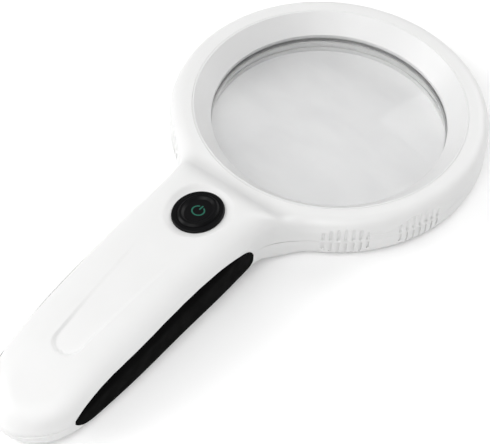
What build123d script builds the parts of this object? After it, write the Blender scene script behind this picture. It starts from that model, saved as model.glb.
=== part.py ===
"""Hand-held illuminated low vision magnifier, built as its separate pieces.

Millimetres. +Y runs from the handle towards the lens head, +Z is up when the
magnifier lies with its flat lower ring on a table, +X is to the right.
The origin is the middle of the whole length, on the table.
"""
from build123d import *
from math import atan2, cos, radians, sin, sqrt
import os

os.makedirs("parts", exist_ok=True)

# ---------------------------------------------------------------- driving dimensions
total_length = 236.0
head_radius = 59.0
head_height = 17.5
head_seam_height = 8.7
lens_y = total_length / 2 - head_radius
tail_y = -total_length / 2

wall = 2.2
top_edge_radius = 6.5
bottom_edge_radius = 5.0
neck_fillet = 26.0
fit_gap = 0.05
# Width of the blocks that cut across the whole form, and how far inner features reach into the skin.
block_width = 160.0
skin_overlap = 0.5

aperture_radius = 44.0
cone_top_radius = 51.0
cone_lip_height = 11.0
lens_edge_radius = 45.2
lens_optical_radius = 43.9
lens_curvature = 170.0
lens_edge_bottom = 7.2
lens_edge_top = 9.6

carrier_wall_outer = 47.4
carrier_flange_radius = 53.0
carrier_flange_bottom = 12.9
carrier_foot_height = 4.4
gasket_thickness = 0.5

window_inner, window_outer = 48.0, 52.2
window_recess = 0.5
window_count, window_bridge = 4, 8.0
led_count, led_circle_radius = 12, 50.2
led_size, led_height = 2.8, 1.7
led_board_bottom, led_board_thickness = 6.0, 1.2
led_board_radius = 56.4
board_ledge_radius = 55.0
board_post_circle, board_post_count, board_post_radius = 54.6, 6, 0.9

# Along the handle: distance from the lens axis and half of the width there.
neck_half_width = 20.3
handle_half_widths = [(85, 20.7), (110, 20.3), (135, 19.7), (152, 18.6), (164, 16.4)]
tail_distance = total_length - head_radius
# Along the handle: distance from the lens axis and height of the skin above the table.
head_top_end = 47.0
top_heights = [
    (60, 21.6), (68, 25.4), (78, 26.8), (92, 26.4), (110, 25.2), (130, 23.2), (150, 20.0), (166, 15.6),
]
tail_top = (tail_distance, 11.0)
head_bottom_end = 55.0
bottom_heights = [(66, 3.2), (80, 5.0), (105, 4.4), (130, 2.7), (150, 1.2), (164, 0.4)]
tail_bottom = (tail_distance, 1.4)
seam_heights = [(66, 12.4), (85, 14.8), (110, 14.0), (135, 12.0), (160, 8.4)]
tail_seam = (tail_distance, 6.2)

# The button is oval: half axes across and along the handle. It leans towards the head.
button_distance = 78.0
button_lean = 2.0
button_floor = 25.4
button_dish_depth = 2.4
dish_floor_oval, dish_rim_oval = (9.0, 10.6), (13.6, 16.6)
collar_foot, collar_top = -3.6, 1.0
collar_foot_oval, collar_top_oval = (15.8, 18.6), (12.2, 14.2)
bezel_oval = (8.6, 10.2)
bezel_body_oval = (7.6, 9.2)
bezel_bore_oval = (6.75, 8.35)
bezel_height = 0.9
cap_oval, cap_top_oval = (6.6, 8.2), (5.9, 7.5)
cap_dish_rim_oval, cap_dish_floor_oval = (5.1, 6.7), (4.2, 5.8)
cap_wall = 1.2
button_travel = 1.2
seat_depth = 3.4
board_depth = 12.0
board_thickness = 1.6
switch_size, switch_height = 7.0, 5.6
plunger_size = 3.2
plunger_top, plunger_bottom = -2.2, -8.6
stem_radius, stem_bottom = 2.9, -3.2
cap_skirt_bottom, cap_roof, cap_shoulder = -2.4, -0.4, 1.0
cap_ring_height, cap_dish_height = 1.7, 1.1
icon_radius, icon_stroke, icon_depth = 2.4, 0.5, 0.4
main_board_width, main_board_head, main_board_tail = 20.0, 14.0, -12.0
wire_radius, wire_end_gap = 0.5, 0.6
thumb_distance, thumb_length, thumb_width = 124.0, 53.0, 15.0
thumb_height, thumb_slope = 23.5, 9.3

grip_depth = 1.4
# Side view of a grip: distance from the lens axis and height, upper and lower edge.
grip_head_end = (72.3, 12.0)
grip_upper = [
    (72.9, 14.2), (75, 17.0), (79, 19.2), (86, 20.7), (98, 21.2), (112, 20.8), (128, 19.4),
    (144, 16.6), (154, 13.7), (159.3, 11.3),
]
grip_tail_end = (161.2, 8.6)
grip_lower = [
    (159.3, 6.0), (155, 4.5), (148, 4.2), (135, 4.9), (120, 5.7), (105, 6.5), (90, 7.0),
    (79, 7.5), (75, 8.4), (72.9, 10.0),
]
grip_inner_x = 15.6

cell_radius, cell_length = 7.1, 49.2
cell_nub_radius, cell_nub_length = 2.7, 1.0
cell_spacing = 14.6
bay_head_end = (92.5, 15.4)
bay_tail_end = (150.0, 10.5)
bulkhead_thickness = 1.5
contact_gap = 0.4
spring_radius, spring_wire, spring_pitch = 2.9, 0.4, 1.1
tray_half_width, tray_rail = 15.2, 0.7

door_half_width = 15.0
door_head_distance, door_tail_distance = 94.0, 149.0
door_thickness = 1.8
door_gap = 0.35
door_tab_width, door_tab_places = 5.0, (-8.0, 8.0)
door_pivot_height = 4.7
groove_floor = 2.0

screw_places = [(14.2, 69.0), (-14.2, 69.0), (0.0, 163.5)]
screw_radius, screw_head_radius, screw_head_height = 1.25, 2.2, 1.6
screw_bases = [6.0, 6.0, 1.8]
screw_length = 9.0
screw_recess_radius = 2.5
boss_radius = 3.4

rib_pitch_angle = 2.6
rib_depth = 0.7
rib_width = 1.1
rib_patch_angles = (42.0, 69.5)
rib_patch_slots = 7
rib_patch_height, rib_seam_gap = 5.6, 0.5


# ---------------------------------------------------------------- shared forms
def from_lens(distance):
    """Y of a point on the handle, from its distance to the lens axis."""
    return lens_y - distance


def side_points(pairs, shift=0.0):
    """Side view points (Y, Z) from pairs of distance and height."""
    return [(from_lens(distance), height + shift) for distance, height in pairs]


def body_form(inset, top_edge, bottom_edge):
    """The closed form of head and handle, moved inwards by inset."""
    radius = head_radius - inset
    neck_x = neck_half_width + neck_fillet
    neck_y = from_lens(sqrt((head_radius + neck_fillet) ** 2 - neck_x ** 2))
    head_share = radius / (head_radius + neck_fillet)
    on_head = (neck_x * head_share, lens_y + (neck_y - lens_y) * head_share)
    on_handle = (neck_half_width - inset, neck_y)
    bend = atan2(on_head[1] - neck_y, on_head[0] - neck_x) / 2 + radians(90)
    neck_inner = neck_fillet + inset
    mid_neck = (neck_x + neck_inner * cos(bend), neck_y + neck_inner * sin(bend))
    sides = [(half - inset, from_lens(distance)) for distance, half in handle_half_widths]
    tip = (0, tail_y + inset)
    with BuildPart() as form:
        with BuildSketch(Plane.XY.offset(-5)):
            with BuildLine():
                ThreePointArc((0, lens_y + radius), (radius, lens_y), on_head)
                ThreePointArc(on_head, mid_neck, on_handle)
                Spline(on_handle, *sides, tip, tangents=[(0, -1), (-1, 0)])
                Line(tip, (0, lens_y + radius))
            make_face()
            mirror(about=Plane.YZ)
        extrude(amount=40)
        with BuildSketch(Plane.YZ.offset(-block_width / 2)):
            with BuildLine():
                front = lens_y + head_radius + 5
                end = tail_y - 5
                top_start = (from_lens(head_top_end), head_height - inset)
                bottom_start = (from_lens(head_bottom_end), inset)
                top = side_points(top_heights + [tail_top], -inset)
                bottom = side_points(bottom_heights + [tail_bottom], inset)
                Line((front, inset), (front, head_height - inset))
                Line((front, head_height - inset), top_start)
                Spline(top_start, *top, tangents=[(-1, 0), (-1, -0.75)])
                Line(top[-1], (end, top[-1][1] - 3.75))
                Line((end, top[-1][1] - 3.75), (end, bottom[-1][1] + 0.6))
                Line((end, bottom[-1][1] + 0.6), bottom[-1])
                Spline(bottom_start, *bottom, tangents=[(-1, 0), (-1, 0.12)])
                Line(bottom_start, (front, inset))
            make_face()
        extrude(amount=block_width, mode=Mode.INTERSECT)
        outline = form.edges().filter_by(Axis.X, reverse=True).filter_by(Axis.Z, reverse=True)
        fillet(outline.filter_by(is_above_seam), top_edge)
        outline = form.edges().filter_by(Axis.X, reverse=True).filter_by(Axis.Z, reverse=True)
        fillet(outline.filter_by(is_lowest), bottom_edge)
    return form.part


def seam_height(y):
    """Height of the parting seam at a place along the length."""
    distance = lens_y - y
    places = [(-head_radius, head_seam_height), (50, head_seam_height)] + seam_heights + [tail_seam]
    for (d0, z0), (d1, z1) in zip(places, places[1:]):
        if d0 <= distance <= d1:
            return z0 + (z1 - z0) * (distance - d0) / (d1 - d0)
    return head_seam_height


def is_above_seam(edge):
    """True for the edges of the top outline."""
    return edge.center().Z > seam_height(edge.center().Y)


def is_lowest(edge):
    """True for the edges of the bottom outline."""
    return edge.center().Z < seam_height(edge.center().Y) - 3.0


def under_seam(lift=0.0):
    """Everything below the parting seam, raised by lift."""
    with BuildPart() as block:
        with BuildSketch(Plane.YZ.offset(-block_width / 2)):
            with BuildLine():
                front = lens_y + head_radius + 8
                end = tail_y - 8
                start = (from_lens(50), head_seam_height + lift)
                points = side_points(seam_heights + [tail_seam], lift)
                Line((front, -10), (front, head_seam_height + lift))
                Line((front, head_seam_height + lift), start)
                Spline(start, *points, tangents=[(-1, 0), (-1, -0.2)])
                Line(points[-1], (end, points[-1][1] - 1.6))
                Line((end, points[-1][1] - 1.6), (end, -10))
                Line((end, -10), (front, -10))
            make_face()
        extrude(amount=block_width)
    return block.part


def grip_zone(grow):
    """The side view shape of a grip, grown by a gap, as two blocks at the handle's flanks."""
    with BuildPart() as zone:
        for side in (1, -1):
            with BuildSketch(Plane.YZ.offset(side * (grip_inner_x - grow))):
                with BuildLine():
                    head_end = (grip_head_end[0] - grow, grip_head_end[1])
                    tail_end = (grip_tail_end[0] + grow, grip_tail_end[1])
                    upper = [(distance, height + grow) for distance, height in grip_upper]
                    lower = [(distance, height - grow) for distance, height in grip_lower]
                    over = side_points([head_end] + upper + [tail_end])
                    under = side_points([tail_end] + lower + [head_end])
                    Spline(*over, tangents=[(0, 1), (0, -1)], tangent_scalars=(1, 1))
                    Spline(*under, tangents=[(0, -1), (0, 1)], tangent_scalars=(1, 1))
                make_face()
            extrude(amount=side * 20)
    return zone.part


def flank_skin(depth, grow):
    """The skin of the handle over the grips' side view shape, down to a depth."""
    with BuildPart() as skin:
        add(outer_form)
        add(grip_zone(grow), mode=Mode.INTERSECT)
        add(body_form(depth, top_edge_radius - depth, bottom_edge_radius - depth), mode=Mode.SUBTRACT)
    return skin.part


def ring(bottom, top, inner_radius, outer_radius):
    """A flat ring about the lens axis."""
    with BuildPart() as band:
        with BuildSketch(Plane.XY.offset(bottom)):
            with Locations((0, lens_y)):
                Circle(outer_radius)
                if inner_radius > 0:
                    Circle(inner_radius, mode=Mode.SUBTRACT)
        extrude(amount=top - bottom)
    return band.part


def window_sectors(bottom, top, gap):
    """The lamp windows: sectors of a ring about the lens axis, shrunk by a gap."""
    span = 360 / window_count - window_bridge - 2 * gap
    reach = 2 * head_radius
    with BuildPart() as sectors:
        for number in range(window_count):
            start = (number * 360 + 180) / window_count - span / 2
            corners = [(0, lens_y)]
            for angle in (start, start + span / 2, start + span):
                corners.append((reach * cos(radians(angle)), lens_y + reach * sin(radians(angle))))
            with BuildSketch(Plane.XY.offset(bottom)):
                with Locations((0, lens_y)):
                    Circle(window_outer - gap / 2)
                    Circle(window_inner + gap / 2, mode=Mode.SUBTRACT)
                with BuildLine():
                    Polyline(*corners, close=True)
                make_face(mode=Mode.INTERSECT)
            extrude(amount=top - bottom)
    return sectors.part


def posts(places, radius, bottom, top):
    """Round posts at places given as x and distance from the lens axis."""
    with BuildPart() as group:
        with BuildSketch(Plane.XY.offset(bottom)):
            with Locations(*[(x, from_lens(distance)) for x, distance in places]):
                Circle(radius)
        extrude(amount=top - bottom)
    return group.part


def rib_slots():
    """Upright slots in eye-shaped patches on both flanks of the head, across the seam."""
    patch_half = (rib_patch_slots - 1) / 2
    with BuildPart() as slots:
        for patch_angle in rib_patch_angles:
            for side in (1, -1):
                for number in range(rib_patch_slots):
                    step = number - patch_half
                    angle = radians(-90 + side * (patch_angle + step * rib_pitch_angle))
                    height = rib_patch_height * sqrt(1 - (step / (patch_half + 1)) ** 2)
                    foot = (head_radius * cos(angle), lens_y + head_radius * sin(angle))
                    place = Plane(
                        origin=(*foot, head_seam_height),
                        x_dir=(-sin(angle), cos(angle), 0),
                        z_dir=(cos(angle), sin(angle), 0),
                    )
                    with BuildSketch(place.offset(-rib_depth)):
                        with Locations((0, height / 2 + rib_seam_gap), (0, -height / 2 - rib_seam_gap)):
                            SlotOverall(height, rib_width, rotation=90)
                    extrude(amount=3)
    return slots.part


outer_form = body_form(0.0, top_edge_radius, bottom_edge_radius)
inner_form = body_form(wall, top_edge_radius - wall, bottom_edge_radius - wall)
lower_side = under_seam()
grip_recess = flank_skin(grip_depth + fit_gap, fit_gap)
slots_tool = rib_slots()

lens_centre = Location((0, lens_y, 0))
lens_axis = Axis((0, lens_y, 0), (0, 0, 1))
lens_section = Plane(origin=(0, lens_y, 0), x_dir=(1, 0, 0), z_dir=(0, -1, 0))
thumb_lean = radians(thumb_slope)
thumb_plane = Plane(
    origin=(0, from_lens(thumb_distance), thumb_height),
    x_dir=(1, 0, 0),
    z_dir=(0, -sin(thumb_lean), cos(thumb_lean)),
)
button_tilt = radians(button_lean)
button_plane = Plane(
    origin=(0, from_lens(button_distance), button_floor),
    x_dir=(1, 0, 0),
    z_dir=(0, sin(button_tilt), cos(button_tilt)),
)
bay_run = (from_lens(bay_tail_end[0]) - from_lens(bay_head_end[0]), bay_tail_end[1] - bay_head_end[1])
bay_length = sqrt(bay_run[0] ** 2 + bay_run[1] ** 2)
bay_plane = Plane(
    origin=(0, from_lens(bay_head_end[0]), bay_head_end[1]),
    x_dir=(1, 0, 0),
    z_dir=(0, bay_run[0] / bay_length, bay_run[1] / bay_length),
)


# ---------------------------------------------------------------- battery door opening
def door_block(grow):
    """The box that cuts the battery door out of the lower skin, grown by a gap."""
    with BuildPart() as block:
        with BuildSketch(Plane.XY.offset(-3)):
            middle = from_lens((door_head_distance + door_tail_distance) / 2)
            length = door_tail_distance - door_head_distance
            with Locations((0, middle)):
                RectangleRounded(2 * door_half_width + 2 * grow, length + 2 * grow, 2.0 + grow)
        extrude(amount=14)
    return block.part


door_floor_form = body_form(
    door_thickness, top_edge_radius - door_thickness, bottom_edge_radius - door_thickness
)

# ---------------------------------------------------------------- bosses inside the two housings
boss_columns = posts(screw_places, boss_radius, 0, 28)
with BuildPart() as boss_fill:
    add(boss_columns)
    add(outer_form, mode=Mode.INTERSECT)
with BuildPart() as seat_fill:
    with BuildSketch(button_plane.offset(-seat_depth)):
        Ellipse(dish_floor_oval[0] + 2.0, dish_floor_oval[1] + 2.0)
    extrude(amount=seat_depth + 4)
    add(outer_form, mode=Mode.INTERSECT)

# raised rim of the button's dish, which stands clear of the slope down to the head
with BuildPart() as button_collar:
    with BuildSketch(button_plane.offset(collar_foot)):
        Ellipse(*collar_foot_oval)
    with BuildSketch(button_plane.offset(collar_top)):
        Ellipse(*collar_top_oval)
    loft()

board_support_places = [(-7, 68), (7, 68), (-7, 86), (7, 86)]
with BuildPart() as board_supports:
    add(posts(board_support_places, 1.6, 0, 20))
    add(outer_form, mode=Mode.INTERSECT)
    with BuildSketch(button_plane.offset(-board_depth - board_thickness - fit_gap)):
        Rectangle(60, 60)
    extrude(amount=20, mode=Mode.SUBTRACT)

lens_bore = ring(-1, 30, 0, cone_top_radius + fit_gap)
lower_bore = ring(-1, 12, 0, aperture_radius)
board_ledge = ring(
    wall - skin_overlap, led_board_bottom - fit_gap, board_ledge_radius, head_radius - wall + skin_overlap
)
carrier_rest = ring(
    wall - skin_overlap, carrier_foot_height - fit_gap, aperture_radius + 0.6, carrier_wall_outer
)
window_cuts = window_sectors(-1, wall + 1, 0.0)
door_cut = door_block(door_gap)

# ---------------------------------------------------------------- upper housing
with BuildPart() as upper_housing:
    add(outer_form)
    add(inner_form, mode=Mode.SUBTRACT)
    add(boss_fill.part)
    add(seat_fill.part)
    add(button_collar.part)
    add(lower_side, mode=Mode.SUBTRACT)
    add(lens_bore, mode=Mode.SUBTRACT)
    # posts that hold the lamp board down
    with BuildSketch(Plane.XY.offset(led_board_bottom + led_board_thickness + fit_gap)):
        with Locations(lens_centre):
            with PolarLocations(board_post_circle, board_post_count):
                Circle(board_post_radius)
    extrude(amount=head_height - wall - led_board_bottom - led_board_thickness)
    # dish and bore for the button
    with BuildSketch(button_plane):
        Ellipse(*dish_floor_oval)
    with BuildSketch(button_plane.offset(button_dish_depth)):
        Ellipse(*dish_rim_oval)
    loft(mode=Mode.SUBTRACT)
    with BuildSketch(button_plane.offset(collar_foot - skin_overlap)):
        Ellipse(bezel_body_oval[0] + fit_gap, bezel_body_oval[1] + fit_gap)
    extrude(amount=10, mode=Mode.SUBTRACT)
    # thumb rest
    with BuildSketch(thumb_plane):
        SlotOverall(thumb_length, thumb_width, rotation=90)
    extrude(amount=8, mode=Mode.SUBTRACT)
    # pilot holes for the screws
    for (x, distance), base in zip(screw_places, screw_bases):
        with BuildSketch(Plane.XY.offset(base)):
            with Locations((x, from_lens(distance))):
                Circle(screw_radius + fit_gap)
        extrude(amount=screw_head_height + screw_length + 0.6, mode=Mode.SUBTRACT)
    add(grip_recess, mode=Mode.SUBTRACT)
    add(slots_tool, mode=Mode.SUBTRACT)
upper_housing.part.label = "upper_housing"
export_step(upper_housing.part, "parts/upper_housing.step")

# ---------------------------------------------------------------- lower housing
with BuildPart() as lower_housing:
    add(outer_form)
    add(inner_form, mode=Mode.SUBTRACT)
    add(boss_fill.part)
    add(board_supports.part)
    add(board_ledge)
    add(carrier_rest)
    add(lower_side, mode=Mode.INTERSECT)
    add(lower_bore, mode=Mode.SUBTRACT)
    add(window_cuts, mode=Mode.SUBTRACT)
    # battery door opening
    add(door_cut, mode=Mode.SUBTRACT)
    # screw holes with their recesses
    for (x, distance), base in zip(screw_places, screw_bases):
        with BuildSketch(Plane.XY.offset(base - 12)):
            with Locations((x, from_lens(distance))):
                Circle(screw_recess_radius)
        extrude(amount=12 + screw_head_height + fit_gap, mode=Mode.SUBTRACT)
        with BuildSketch(Plane.XY.offset(base)):
            with Locations((x, from_lens(distance))):
                Circle(screw_radius + 0.15)
        extrude(amount=screw_length + 4, mode=Mode.SUBTRACT)
    add(grip_recess, mode=Mode.SUBTRACT)
    add(slots_tool, mode=Mode.SUBTRACT)
lower_housing.part.label = "lower_housing"
export_step(lower_housing.part, "parts/lower_housing.step")

# ---------------------------------------------------------------- lens and its carrier
with BuildPart() as lens_carrier:
    with BuildSketch(lens_section):
        with BuildLine():
            Polyline(
                (aperture_radius, lens_edge_top + fit_gap),
                (aperture_radius, cone_lip_height),
                (cone_top_radius - 0.5, head_height - 0.1),
                (cone_top_radius, head_height - 0.1),
                (cone_top_radius, head_height - wall - fit_gap),
                (carrier_flange_radius, head_height - wall - fit_gap),
                (carrier_flange_radius, carrier_flange_bottom),
                (carrier_wall_outer, carrier_flange_bottom),
                (carrier_wall_outer, carrier_foot_height),
                (lens_edge_radius + fit_gap, carrier_foot_height),
                (lens_edge_radius + fit_gap, lens_edge_top + fit_gap),
                close=True,
            )
        make_face()
    revolve(axis=lens_axis)
lens_carrier.part.label = "lens_carrier"
export_step(lens_carrier.part, "parts/lens_carrier.step")

optical_sag = lens_curvature - sqrt(lens_curvature**2 - lens_optical_radius**2)
lens_apex_top = lens_edge_top + optical_sag
lens_apex_bottom = lens_edge_bottom - optical_sag
half_radius = lens_optical_radius / 2
half_sag = lens_curvature - sqrt(lens_curvature**2 - half_radius**2)
with BuildPart() as lens:
    with BuildSketch(lens_section):
        with BuildLine():
            Line((0, lens_apex_bottom), (0, lens_apex_top))
            ThreePointArc(
                (0, lens_apex_top),
                (half_radius, lens_apex_top - half_sag),
                (lens_optical_radius, lens_edge_top),
            )
            Polyline(
                (lens_optical_radius, lens_edge_top),
                (lens_edge_radius, lens_edge_top),
                (lens_edge_radius, lens_edge_bottom),
                (lens_optical_radius, lens_edge_bottom),
            )
            ThreePointArc(
                (lens_optical_radius, lens_edge_bottom),
                (half_radius, lens_apex_bottom + half_sag),
                (0, lens_apex_bottom),
            )
        make_face()
    revolve(axis=lens_axis)
lens.part.label = "lens"
export_step(lens.part, "parts/lens.step")

gasket_bottom = lens_edge_bottom - gasket_thickness
with BuildPart() as lens_gasket:
    add(ring(gasket_bottom, lens_edge_bottom - 0.02, aperture_radius + 0.1, lens_edge_radius - fit_gap))
lens_gasket.part.label = "lens_gasket"
export_step(lens_gasket.part, "parts/lens_gasket.step")

with BuildPart() as lens_retainer:
    add(ring(carrier_foot_height, gasket_bottom - 0.02, aperture_radius - 0.6, lens_edge_radius - 0.02))
    bottom_edges = lens_retainer.edges().group_by(Axis.Z)[0]
    chamfer(bottom_edges.sort_by(SortBy.RADIUS)[0], 0.4)
lens_retainer.part.label = "lens_retainer"
export_step(lens_retainer.part, "parts/lens_retainer.step")

# ---------------------------------------------------------------- ring light
window_top = wall + fit_gap
with BuildPart() as light_window:
    add(ring(window_top, window_top + 0.9, carrier_wall_outer + 0.15, window_outer + 1.2))
    add(window_sectors(window_recess, window_top, 0.1))
light_window.part.label = "light_window"
export_step(light_window.part, "parts/light_window.step")

board_top = led_board_bottom + led_board_thickness
with BuildPart() as led_board:
    add(ring(led_board_bottom, board_top, carrier_wall_outer + 0.6, led_board_radius))
led_board.part.label = "led_board"
export_step(led_board.part, "parts/led_board.step")

with BuildPart() as leds:
    with BuildSketch(Plane.XY.offset(led_board_bottom - led_height)):
        with Locations(lens_centre):
            with PolarLocations(led_circle_radius, led_count, start_angle=15):
                Rectangle(led_size, led_size)
    extrude(amount=led_height)
leds.part.label = "leds"
export_step(leds.part, "parts/leds.step")

# ---------------------------------------------------------------- power button
with BuildPart() as button_bezel:
    with BuildSketch(button_plane.offset(-seat_depth + 0.4)):
        Ellipse(*bezel_body_oval)
        Ellipse(*bezel_bore_oval, mode=Mode.SUBTRACT)
    extrude(amount=seat_depth - 0.4)
    with BuildSketch(button_plane):
        Ellipse(*bezel_oval)
        Ellipse(*bezel_bore_oval, mode=Mode.SUBTRACT)
    extrude(amount=bezel_height)
    flange_edges = button_bezel.faces().sort_by(button_plane.location.z_axis)[-1].edges()
    fillet(flange_edges.sort_by(SortBy.LENGTH)[-1], 0.6)
button_bezel.part.label = "button_bezel"
export_step(button_bezel.part, "parts/button_bezel.step")


def power_symbol(grow):
    """A broken ring with an upright bar in its gap, thickened all round by grow."""
    stroke = icon_stroke + 2 * grow
    with BuildPart() as symbol:
        with BuildSketch(button_plane.offset(cap_dish_height - icon_depth)):
            Circle(icon_radius + grow)
            Circle(icon_radius - stroke + grow, mode=Mode.SUBTRACT)
            with Locations((0, icon_radius)):
                Rectangle(3.2 * icon_stroke - 2 * grow, 2.6, mode=Mode.SUBTRACT)
            with Locations((0, icon_radius - 0.7)):
                SlotOverall(2.2 + 2 * grow, stroke, rotation=90)
        extrude(amount=icon_depth)
    return symbol.part


with BuildPart() as power_button:
    with BuildSketch(button_plane.offset(cap_skirt_bottom)):
        Ellipse(*cap_oval)
    extrude(amount=cap_shoulder - cap_skirt_bottom)
    with BuildSketch(button_plane.offset(cap_shoulder)):
        Ellipse(*cap_oval)
    with BuildSketch(button_plane.offset(cap_ring_height)):
        Ellipse(*cap_top_oval)
    loft()
    with BuildSketch(button_plane.offset(cap_dish_height)):
        Ellipse(*cap_dish_floor_oval)
    with BuildSketch(button_plane.offset(cap_ring_height)):
        Ellipse(*cap_dish_rim_oval)
    loft(mode=Mode.SUBTRACT)
    with BuildSketch(button_plane.offset(cap_skirt_bottom)):
        Ellipse(cap_oval[0] - cap_wall, cap_oval[1] - cap_wall)
    extrude(amount=cap_roof - cap_skirt_bottom, mode=Mode.SUBTRACT)
    with BuildSketch(button_plane.offset(stem_bottom)):
        Circle(stem_radius)
    extrude(amount=cap_roof - stem_bottom)
    with BuildSketch(button_plane.offset(stem_bottom)):
        Rectangle(plunger_size + 0.06, plunger_size + 0.06)
    extrude(amount=plunger_top - stem_bottom + 0.02, mode=Mode.SUBTRACT)
    add(power_symbol(0.03), mode=Mode.SUBTRACT)
power_button.part.label = "power_button"
export_step(power_button.part, "parts/power_button.step")

with BuildPart() as button_icon:
    add(power_symbol(0.0))
button_icon.part.label = "button_icon"
export_step(button_icon.part, "parts/button_icon.step")

with BuildPart() as switch_plunger:
    with BuildSketch(button_plane.offset(plunger_bottom)):
        Rectangle(plunger_size, plunger_size)
    extrude(amount=plunger_top - plunger_bottom)
switch_plunger.part.label = "switch_plunger"
export_step(switch_plunger.part, "parts/switch_plunger.step")

with BuildPart() as switch_body:
    with BuildSketch(button_plane.offset(-board_depth)):
        Rectangle(switch_size, switch_size)
    extrude(amount=switch_height)
    with BuildSketch(button_plane.offset(plunger_bottom - button_travel - 0.6)):
        Rectangle(plunger_size + 0.2, plunger_size + 0.2)
    extrude(amount=10, mode=Mode.SUBTRACT)
switch_body.part.label = "switch_body"
export_step(switch_body.part, "parts/switch_body.step")

# ---------------------------------------------------------------- main board
board_middle = (main_board_head + main_board_tail) / 2
board_length = main_board_head - main_board_tail
with BuildPart() as main_board:
    with BuildSketch(button_plane.offset(-board_depth - board_thickness)):
        with Locations((0, board_middle)):
            RectangleRounded(main_board_width, board_length, 1.0)
    extrude(amount=board_thickness)
main_board.part.label = "main_board"
export_step(main_board.part, "parts/main_board.step")

with BuildPart() as board_components:
    with BuildSketch(button_plane.offset(-board_depth)):
        with Locations((-4.5, -8)):
            Rectangle(5.0, 4.0)
        with GridLocations(2.6, 0, 3, 1):
            with Locations((5.0, -8.0)):
                Rectangle(1.2, 2.0)
    extrude(amount=1.4)
    with BuildSketch(button_plane.offset(-board_depth)):
        with Locations((5.0, 9.0), (-5.0, 9.0)):
            Circle(2.0)
    extrude(amount=3.0)
board_components.part.label = "board_components"
export_step(board_components.part, "parts/board_components.step")

# ---------------------------------------------------------------- wiring
board_head_edge = button_plane.from_local_coords((0, main_board_head, -board_depth - board_thickness / 2))
board_tail_edge = button_plane.from_local_coords((0, main_board_tail, -board_depth - board_thickness / 2))
with BuildPart() as led_harness:
    for x in (-1.5, 1.5):
        start = (x, from_lens(54.2), board_top + 0.02)
        corner = (x, from_lens(54.2), board_head_edge.Z - 0.1)
        end = (x, board_head_edge.Y + 0.05, board_head_edge.Z)
        with BuildLine() as run:
            FilletPolyline(start, corner, end, radius=1.6)
        with BuildSketch(Plane(origin=start, z_dir=(0, 0, 1))):
            Circle(wire_radius)
        sweep(path=run.wires()[0])
led_harness.part.label = "led_harness"
export_step(led_harness.part, "parts/led_harness.step")

tray_front = bay_plane.from_local_coords((0, 0, 0))
with BuildPart() as battery_harness:
    for x in (-4.0, 4.0):
        start = Vector(x, tray_front.Y + wire_end_gap, tray_front.Z)
        end = Vector(x, board_tail_edge.Y - wire_end_gap, board_tail_edge.Z)
        with BuildLine() as run:
            Line(start, end)
        with BuildSketch(Plane(origin=start, z_dir=end - start)):
            Circle(wire_radius)
        sweep(path=run.wires()[0])
battery_harness.part.label = "battery_harness"
export_step(battery_harness.part, "parts/battery_harness.step")

# ---------------------------------------------------------------- batteries, tray and contacts
tray_end = bay_length
cell_place = cell_spacing / 2
with BuildPart() as battery_tray:
    for start, low in ((0.0, -5.0), (tray_end - bulkhead_thickness, -6.0)):
        with BuildSketch(bay_plane.offset(start)):
            with Locations((0, (low + 6.0) / 2)):
                Rectangle(2 * tray_half_width, 6.0 - low)
        extrude(amount=bulkhead_thickness)
    with BuildSketch(bay_plane):
        for side in (1, -1):
            with Locations((side * (tray_half_width - tray_rail / 2), 0)):
                Rectangle(tray_rail, 4.0)
    extrude(amount=tray_end)
    add(body_form(wall + 0.1, top_edge_radius - wall, bottom_edge_radius - wall), mode=Mode.INTERSECT)
battery_tray.part.label = "battery_tray"
export_step(battery_tray.part, "parts/battery_tray.step")

plate_front = bulkhead_thickness + 0.02
plate_back = tray_end - bulkhead_thickness - 0.02 - contact_gap
nub_start = plate_front + contact_gap + 0.02
cell_starts = {
    "battery_1": nub_start + cell_nub_length,
    "battery_2": plate_back - 0.02 - cell_nub_length - cell_length,
}
for name, side in (("battery_1", -1), ("battery_2", 1)):
    start = cell_starts[name]
    nub_offset = start - cell_nub_length if side < 0 else start + cell_length
    with BuildPart() as battery:
        with BuildSketch(bay_plane.offset(start)):
            with Locations((side * cell_place, 0)):
                Circle(cell_radius)
        extrude(amount=cell_length)
        fillet(battery.edges(), 0.4)
        with BuildSketch(bay_plane.offset(nub_offset)):
            with Locations((side * cell_place, 0)):
                Circle(cell_nub_radius)
        extrude(amount=cell_nub_length)
    battery.part.label = name
    export_step(battery.part, "parts/" + name + ".step")

with BuildPart() as contact_plates:
    with BuildSketch(bay_plane.offset(plate_front)):
        with Locations((cell_place, 0), (-cell_place, 0)):
            RectangleRounded(9.0, 9.0, 1.0)
    extrude(amount=contact_gap)
    with BuildSketch(bay_plane.offset(plate_back)):
        RectangleRounded(cell_spacing + 9.0, 9.0, 1.0)
    extrude(amount=contact_gap)
contact_plates.part.label = "contact_plates"
export_step(contact_plates.part, "parts/contact_plates.step")

spring_room_tail = (cell_starts["battery_1"] + cell_length + 0.02, plate_back - 0.02)
spring_room_head = (plate_front + contact_gap + 0.02, cell_starts["battery_2"] - 0.02)
with BuildPart() as contact_springs:
    for (room_start, room_end), side in ((spring_room_tail, -1), (spring_room_head, 1)):
        height = room_end - room_start - 2 * spring_wire
        centre = bay_plane.from_local_coords((side * cell_place, 0, room_start + spring_wire))
        with BuildLine() as coil:
            Helix(spring_pitch, height, spring_radius, center=centre, direction=bay_plane.z_dir)
        with BuildSketch(Plane(origin=coil.line @ 0, z_dir=coil.line % 0)):
            Circle(spring_wire)
        sweep(path=coil.wires()[0], is_frenet=True)
contact_springs.part.label = "contact_springs"
export_step(contact_springs.part, "parts/contact_springs.step")

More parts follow.
